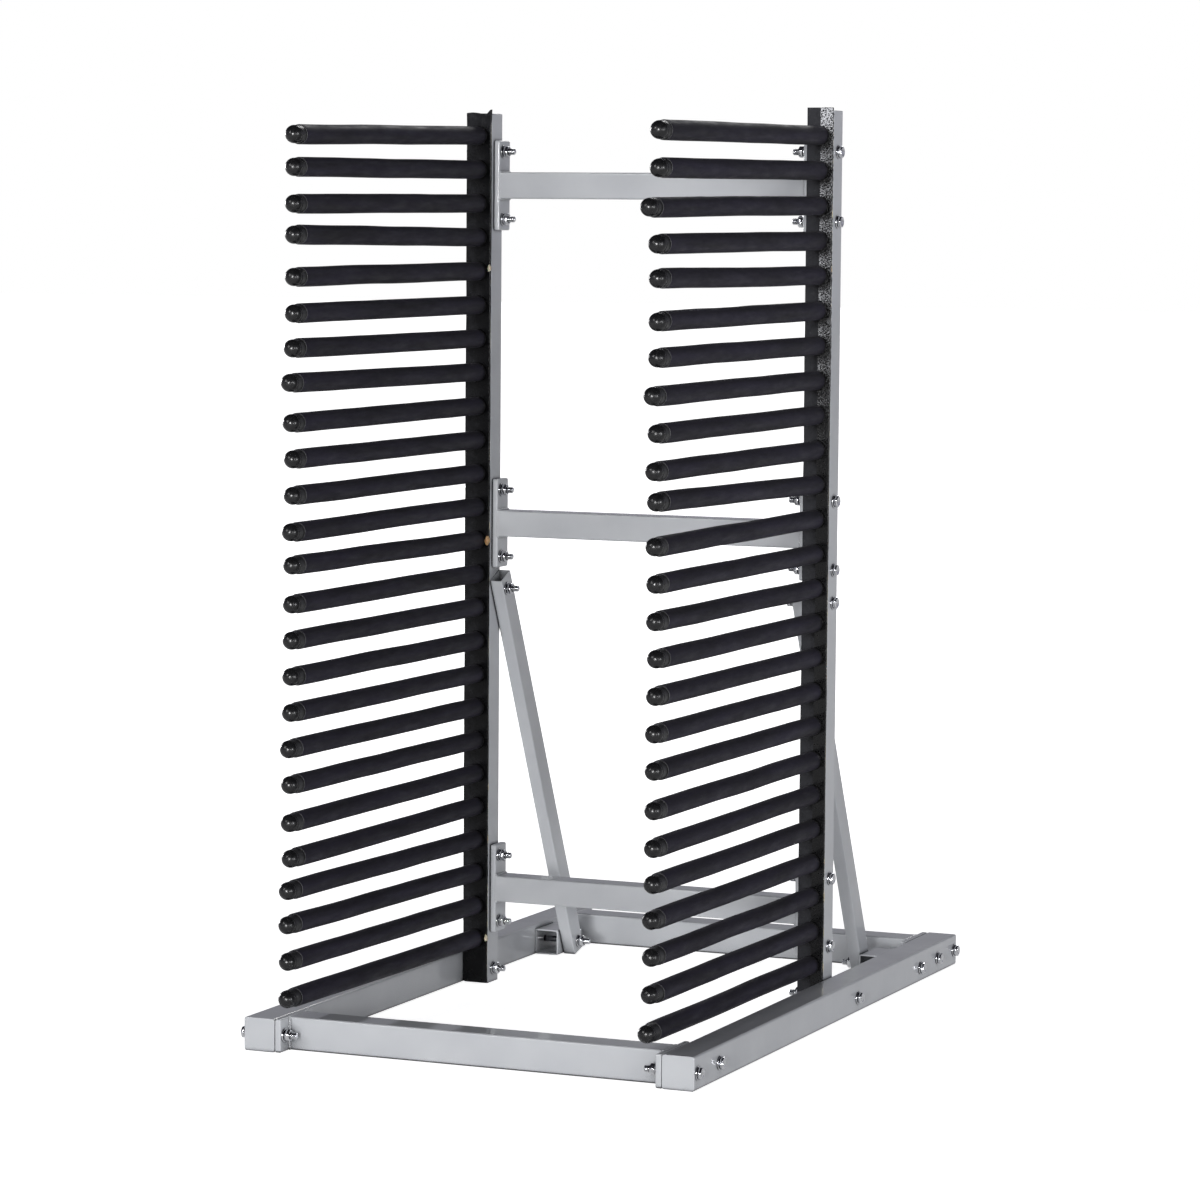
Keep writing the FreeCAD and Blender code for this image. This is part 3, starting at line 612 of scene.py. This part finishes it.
def section_loop(low, high, corner, spacing):
    """Points round a rounded rectangle in Y and Z, each with its outward direction."""
    front, back, bottom, top = low.y + corner, high.y - corner, low.z + corner, high.z - corner
    loop = []
    for turn, y, z in ((0, back, top), (90, front, top), (180, front, bottom), (270, back, bottom)):
        centre = Vector((0, y, z))
        for step in range(5):
            angle = math.radians(turn + 22.5 * step)
            out = Vector((0, math.cos(angle), math.sin(angle)))
            loop.append((centre + out * corner, out))
    dense = []
    for (start, out), (end, next_out) in zip(loop, loop[1:] + loop[:1]):
        steps = max(1, round((end - start).length / spacing))
        for step in range(steps):
            part = step / steps
            dense.append((start.lerp(end, part), out.lerp(next_out, part).normalized()))
    return dense


def weld_round(name, tube, end_x, corner, flush_axis):
    """A rippled bead round the end of a square tube, sunk on the sides that lie flush."""
    low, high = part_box(tube)
    along_tube = Vector((1 if end_x < (low.x + high.x) / 2 else -1, 0, 0))
    mesh = bmesh.new()
    rings = []
    walked = 0.0
    before = None
    for spot, out in section_loop(low, high, corner, BEAD_STEP):
        walked += (spot - before).length if before else 0
        before = spot
        ripple = math.sin(math.pi * walked / BEAD_RIPPLE) ** 2
        uneven = noise.noise(Vector((walked * 60, end_x * 9, low.z * 5)))
        radius = BEAD_RADIUS * (BEAD_LEAST + BEAD_SWELL * ripple + BEAD_UNEVEN * uneven)
        flush = abs(out.y if flush_axis == "Y" else out.z) ** 2
        centre = Vector((end_x, spot.y, spot.z)) - out * flush * BEAD_RADIUS * BEAD_SINK
        ring = []
        for turn in angles(BEAD_SIDES):
            point = centre + radius * (out * math.sin(turn) + along_tube * math.cos(turn))
            point.z = max(point.z, 0)
            ring.append(mesh.verts.new(point))
        rings.append(ring)
    bridge(mesh, *rings, rings[0])
    finish_piece(name, mesh, "frame_paint")


def make_welds():
    """A bead at both ends of every cross-member, front beam and rear beam."""
    for tube, corner, flush_axis in (("top_cross_tube", CROSS_TUBE_CORNER, "Y"),
                                     ("middle_cross_tube", CROSS_TUBE_CORNER, "Y"),
                                     ("lower_cross_tube", CROSS_TUBE_CORNER, "Y"),
                                     ("front_beam", BEAM_CORNER, "Z"),
                                     ("rear_beam", BEAM_CORNER, "Z")):
        low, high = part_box(tube)
        for side, end_x in (("left", low.x), ("right", high.x)):
            weld_round(f"{tube}_{side}_weld", tube, end_x, corner, flush_axis)


# ---------------------------------------------------------------- fasteners
HEX_FLATS = 19 * MM
HEAD_TALL = 7.5 * MM
NUT_TALL = 10.8 * MM
THREAD_RADIUS = 6 * MM
THREAD_DEPTH = 0.95 * MM
THREAD_PITCH = 1.75 * MM
THREAD_LENGTH = 30 * MM
THREAD_ROWS = 6
THREAD_CHAMFER = 1.3 * MM
RUNOUT_ROWS = 8
SHANK_AROUND = 24
HEX_STEPS = 48
HEX_FACE = HEX_FLATS * 0.475
HEX_CHAMFER = 30
WASHER_BORE = 6.5 * MM
WASHER_AROUND = 40


def hex_radius(angle):
    """Distance from a hexagon's middle to its outline."""
    return HEX_FLATS / 2 / math.cos((angle + math.pi / 6) % (math.pi / 3) - math.pi / 6)


def bevel_height(tall):
    """Height at which a hexagon's outline meets the chamfer cone, by angle."""
    slope = math.tan(math.radians(HEX_CHAMFER))
    return lambda angle: tall - (hex_radius(angle) - HEX_FACE) * slope


def add_head(mesh, place):
    """A hexagon head with a chamfered face and a shallow dish in it."""
    dish = HEAD_TALL - 0.5 * MM
    profile = [(THREAD_RADIUS, 0), (HEX_FACE * 0.98, 0), (hex_radius, 0.6 * MM),
               (hex_radius, bevel_height(HEAD_TALL)), (HEX_FACE, HEAD_TALL),
               (HEX_FACE * 0.82, HEAD_TALL), (HEX_FACE * 0.74, dish), (1 * MM, dish)]
    cap(mesh, lathe(mesh, profile, place, HEX_STEPS)[-1])


def add_nut(mesh, place):
    """A hexagon nut, chamfered on both faces and in its bore."""
    upper = bevel_height(NUT_TALL)
    bore = THREAD_RADIUS + 0.15 * MM
    mouth = bore + 0.7 * MM
    profile = [(bore, 0.6 * MM), (mouth, 0), (HEX_FACE, 0),
               (hex_radius, lambda angle: NUT_TALL - upper(angle)), (hex_radius, upper),
               (HEX_FACE, NUT_TALL), (mouth, NUT_TALL), (bore, NUT_TALL - 0.6 * MM)]
    lathe(mesh, profile, place, HEX_STEPS, closed=True)


def add_washer(mesh, place, rim, thick):
    """A flat washer with softened edges."""
    profile = [(WASHER_BORE, 0.3 * MM), (WASHER_BORE + 0.3 * MM, 0), (rim - 0.5 * MM, 0),
               (rim, 0.5 * MM), (rim, thick - 0.7 * MM), (rim - 0.7 * MM, thick),
               (WASHER_BORE + 0.3 * MM, thick), (WASHER_BORE, thick - 0.3 * MM)]
    lathe(mesh, profile, place, WASHER_AROUND, closed=True)


def add_shank(mesh, place, length):
    """A plain shank that ends in a rolled thread; it runs down from the head."""
    plain = [(THREAD_RADIUS, 0), (THREAD_RADIUS, THREAD_LENGTH - length)]
    rings = lathe(mesh, plain, place, SHANK_AROUND)
    cap(mesh, rings[0])
    rows = round(THREAD_LENGTH / THREAD_PITCH * THREAD_ROWS)
    threads = []
    for row in range(1, rows + 1):
        height = THREAD_LENGTH - length - THREAD_LENGTH * row / rows
        from_end = THREAD_LENGTH * (1 - row / rows)
        runout = min(1.0, row / RUNOUT_ROWS)
        ring = []
        for angle in angles(SHANK_AROUND):
            phase = (height / THREAD_PITCH + angle / (2 * math.pi)) % 1.0
            groove = THREAD_DEPTH * (1 - abs(2 * phase - 1)) * runout
            radius = min(THREAD_RADIUS - groove, THREAD_RADIUS - THREAD_CHAMFER + from_end)
            spot = Vector((radius * math.cos(angle), radius * math.sin(angle), height))
            ring.append(mesh.verts.new(place @ spot))
        threads.append(ring)
    bridge(mesh, rings[-1], *threads)
    cap(mesh, threads[-1])


def make_fasteners():
    """Bolts, nuts and washers with their heads outside the frame."""
    spin = random.Random(12)
    for kind in ("cross_member", "base", "foot", "brace_top", "brace_foot"):
        mesh = bmesh.new()
        for points in islands(kind + "_bolts"):
            low, high = box_of(points)
            side = math.copysign(1, low.x + high.x)
            outer = high.x if side > 0 else low.x
            seat = Vector((outer - side * HEAD_TALL, (low.y + high.y) / 2, (low.z + high.z) / 2))
            place = aim(seat, seat + Vector((side, 0, 0)), spin.uniform(0, math.pi))
            add_head(mesh, place)
            add_shank(mesh, place, (high.x - low.x) - HEAD_TALL)
        finish_piece(f"{kind}_hex_bolts", mesh, "zinc_fasteners", [kind + "_bolts"])
    for group in ("upright", "base"):
        mesh = bmesh.new()
        for points in islands(group + "_nuts"):
            low, high = box_of(points)
            middle = (low + high) / 2
            start = Vector((low.x, middle.y, middle.z))
            add_nut(mesh, aim(start, start + Vector((1, 0, 0)), spin.uniform(0, math.pi)))
        finish_piece(f"{group}_hex_nuts", mesh, "zinc_fasteners", [group + "_nuts"])
        mesh = bmesh.new()
        for points in islands(group + "_washers"):
            low, high = box_of(points)
            start = Vector((low.x, (low.y + high.y) / 2, (low.z + high.z) / 2))
            place = aim(start, start + Vector((1, 0, 0)))
            add_washer(mesh, place, (high.z - low.z) / 2, high.x - low.x)
        finish_piece(f"{group}_flat_washers", mesh, "zinc_fasteners", [group + "_washers"])


# ---------------------------------------------------------------- glue and edge beads
EDGE_BEAD_STEP = 3 * MM
EDGE_BEAD_SIDES = 8
EDGE_BEAD_START = 10 * MM
EDGE_BEAD_ENDS = 30 * MM
EDGE_BEAD_SEED = {"left": 2, "right": 6}
# millimetres by which the line swells and shrinks, so that it shows only here and there
EDGE_BEAD_SWELL, EDGE_BEAD_SHRINK, EDGE_BEAD_LEAST = 2.6, 0.5, 0.1
# name, millimetres from the strip's right edge and the floor, radii, material, seed
BLOBS = (("upper_glue_blob", (-1, -5, 1377), (3.4, 4.0, 6.5), CREAM_GLUE, 1),
         ("middle_glue_blob", (-2, -5, 858), (4.5, 4.5, 8.5), AMBER_GLUE, 5),
         ("lower_glue_blob", (-1, -4, 89), (3.0, 4.0, 7.0), CREAM_GLUE, 9))


def blob(name, centre, size, material, seed):
    """A lump of dried glue."""
    mesh = bmesh.new()
    bmesh.ops.create_icosphere(mesh, subdivisions=4, radius=1)
    for vertex in mesh.verts:
        lump = 1 + 0.35 * noise.noise(vertex.co * 1.6 + Vector((seed, 0, 0)))
        vertex.co = centre + Vector(vertex.co[axis] * size[axis] for axis in range(3)) * lump
    finish_piece(name, mesh, "strip_rubber", materials=(material,))


def make_glue():
    """Glue blobs at the left strip's right edge, and a thin cream bead along each strip's right
    edge, between strip and upright.
    """
    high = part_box("left_face_strip")[1]
    edge = Vector((high.x, high.y - 1 * MM, 0))
    for name, place, size, material, seed in BLOBS:
        blob(name, edge + Vector(place) * MM, Vector(size) * MM, material, seed)
    outward = [Vector((math.cos(turn), math.sin(turn), 0)) for turn in angles(EDGE_BEAD_SIDES)]
    # a thin cream bead along each strip's right edge, shown only here and there
    for side in SIDES:
        low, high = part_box(side + "_face_strip")
        mesh = bmesh.new()
        rings = []
        for row in range(int((high.z - low.z - EDGE_BEAD_ENDS) / EDGE_BEAD_STEP)):
            up = low.z + EDGE_BEAD_START + row * EDGE_BEAD_STEP
            swell = noise.noise(Vector((up * 30, 0, EDGE_BEAD_SEED[side])))
            radius = max(EDGE_BEAD_LEAST, EDGE_BEAD_SWELL * swell - EDGE_BEAD_SHRINK) * MM
            spot = Vector((high.x - 0.2 * MM, high.y - 0.3 * MM, up))
            rings.append([mesh.verts.new(spot + radius * out) for out in outward])
        bridge(mesh, *rings)
        cap(mesh, rings[0])
        cap(mesh, rings[-1])
        finish_piece(side + "_edge_bead", mesh, "strip_rubber", materials=(CREAM_GLUE,))


# ---------------------------------------------------------------- camera, floor and light
VIEW_AZIMUTH = 23.22
VIEW_ELEVATION = 5.10
VIEW_ROLL = 0.44
VIEW_TARGET = Vector((-0.04857, 0.00775, 0.76217))
VIEW_DISTANCE = 8.03468
SENSOR_WIDTH = 36
FOCAL_LENGTH = 128.86
FLOOR_SIZE = 120
FLOOR_LIGHT = 0.20
# the floor's glow near the middle and far out, and the distances between which it changes
GLOW_NEAR = 0.68
GLOW_FAR = 1.0
GLOW_START = 0.8
GLOW_END = 3.0
WALL_LOW = (0.37, 0.37, 0.42)
WALL_HIGH = (0.02, 0.02, 0.025)
WALL_STOPS = (0.0, 0.5)
LAMP_TARGET = Vector((0, 0, 0.8))
# name, place, size, power, colour
LAMPS = (("front", (3.5, -19.8, 2.5), (3.4, 3.8), 2150, WHITE),
         ("front_right", (15.5, -12.6, 2.2), (1.2, 1.6), 330, WHITE),
         ("right", (17.4, -4.7, 2.2), (3.0, 4.0), 600, (0.97, 0.98, 1.0)),
         ("left_wall", (-3.6, -6.8, 4.2), (2.0, 2.0), 90, WHITE),
         ("back_left", (-15.4, 8.2, 2.6), (3.0, 4.0), 900, WHITE),
         ("back", (-1.5, 13.0, 9.5), (4.0, 4.0), 360, WHITE))


def make_camera():
    """A long lens at eye level, in front of the rack and a little to its right."""
    turn = (Matrix.Rotation(math.radians(VIEW_AZIMUTH), 4, "Z")
            @ Matrix.Rotation(math.radians(90 - VIEW_ELEVATION), 4, "X")
            @ Matrix.Rotation(math.radians(VIEW_ROLL), 4, "Z"))
    camera = bpy.data.objects.new("camera", bpy.data.cameras.new("camera"))
    camera.data.lens = FOCAL_LENGTH
    camera.data.sensor_width = SENSOR_WIDTH
    camera.data.clip_end = 200
    eye = VIEW_TARGET + turn @ Vector((0, 0, VIEW_DISTANCE))
    camera.matrix_world = Matrix.Translation(eye) @ turn
    bpy.context.collection.objects.link(camera)
    bpy.context.scene.camera = camera


def make_floor():
    """A white floor that glows to the camera, least right under the rack."""
    bpy.ops.mesh.primitive_plane_add(size=FLOOR_SIZE, location=(0, 0, 0))
    floor = bpy.context.object
    floor.name = "floor"
    skin = Surface("floor", Base_Color=(0.86, 0.86, 0.86, 1), Roughness=0.9, Specular_IOR_Level=0.1)
    seen = skin.add("ShaderNodeLightPath").outputs["Is Camera Ray"]
    length = skin.add("ShaderNodeVectorMath", {"operation": "LENGTH"}, i0=skin.place)
    skin.shader.inputs["Emission Color"].default_value = (*WHITE, 1)
    glow = skin.ramp(length.outputs["Value"], GLOW_NEAR, GLOW_FAR, GLOW_START, GLOW_END)
    backdrop = skin.times(seen, glow)
    skin.feed("Emission Strength", skin.plus(backdrop, FLOOR_LIGHT))
    floor.data.materials.append(skin.material)


def soft_box(name, spot, size, power, colour):
    """A rectangular lamp that faces the rack."""
    light = bpy.data.lights.new(name, "AREA")
    light.shape = "RECTANGLE"
    light.size, light.size_y = size
    light.energy = power
    light.color = colour
    lamp = bpy.data.objects.new(name, light)
    lamp.location = spot
    lamp.rotation_euler = (LAMP_TARGET - Vector(spot)).to_track_quat("-Z", "Y").to_euler()
    bpy.context.collection.objects.link(lamp)


def make_world():
    """Grey studio walls that the paint reflects, with white behind the rack."""
    world = bpy.data.worlds.new("studio")
    bpy.context.scene.world = world
    world.use_nodes = True
    tree = world.node_tree
    walls = tree.nodes["Background"]
    direction = tree.nodes.new("ShaderNodeTexCoord")
    split = tree.nodes.new("ShaderNodeSeparateXYZ")
    ramp = tree.nodes.new("ShaderNodeValToRGB")
    tree.links.new(direction.outputs["Generated"], split.inputs[0])
    tree.links.new(split.outputs["Z"], ramp.inputs["Fac"])
    stops = ramp.color_ramp.elements
    for stop, position, colour in zip(stops, WALL_STOPS, (WALL_LOW, WALL_HIGH)):
        stop.position = position
        stop.color = (*colour, 1)
    tree.links.new(ramp.outputs[0], walls.inputs["Color"])
    walls.inputs["Strength"].default_value = 1.0
    backdrop = tree.nodes.new("ShaderNodeBackground")
    backdrop.inputs["Color"].default_value = (*WHITE, 1)
    seen = tree.nodes.new("ShaderNodeLightPath")
    mix = tree.nodes.new("ShaderNodeMixShader")
    tree.links.new(seen.outputs["Is Camera Ray"], mix.inputs[0])
    tree.links.new(walls.outputs[0], mix.inputs[1])
    tree.links.new(backdrop.outputs[0], mix.inputs[2])
    tree.links.new(mix.outputs[0], tree.nodes["World Output"].inputs["Surface"])


dress_cad_nodes()
make_sleeves()
make_plugs()
make_strips()
make_welds()
make_fasteners()
make_glue()
make_camera()
make_floor()
make_world()
for lamp_settings in LAMPS:
    soft_box(*lamp_settings)
bpy.context.scene.view_settings.view_transform = "Standard"
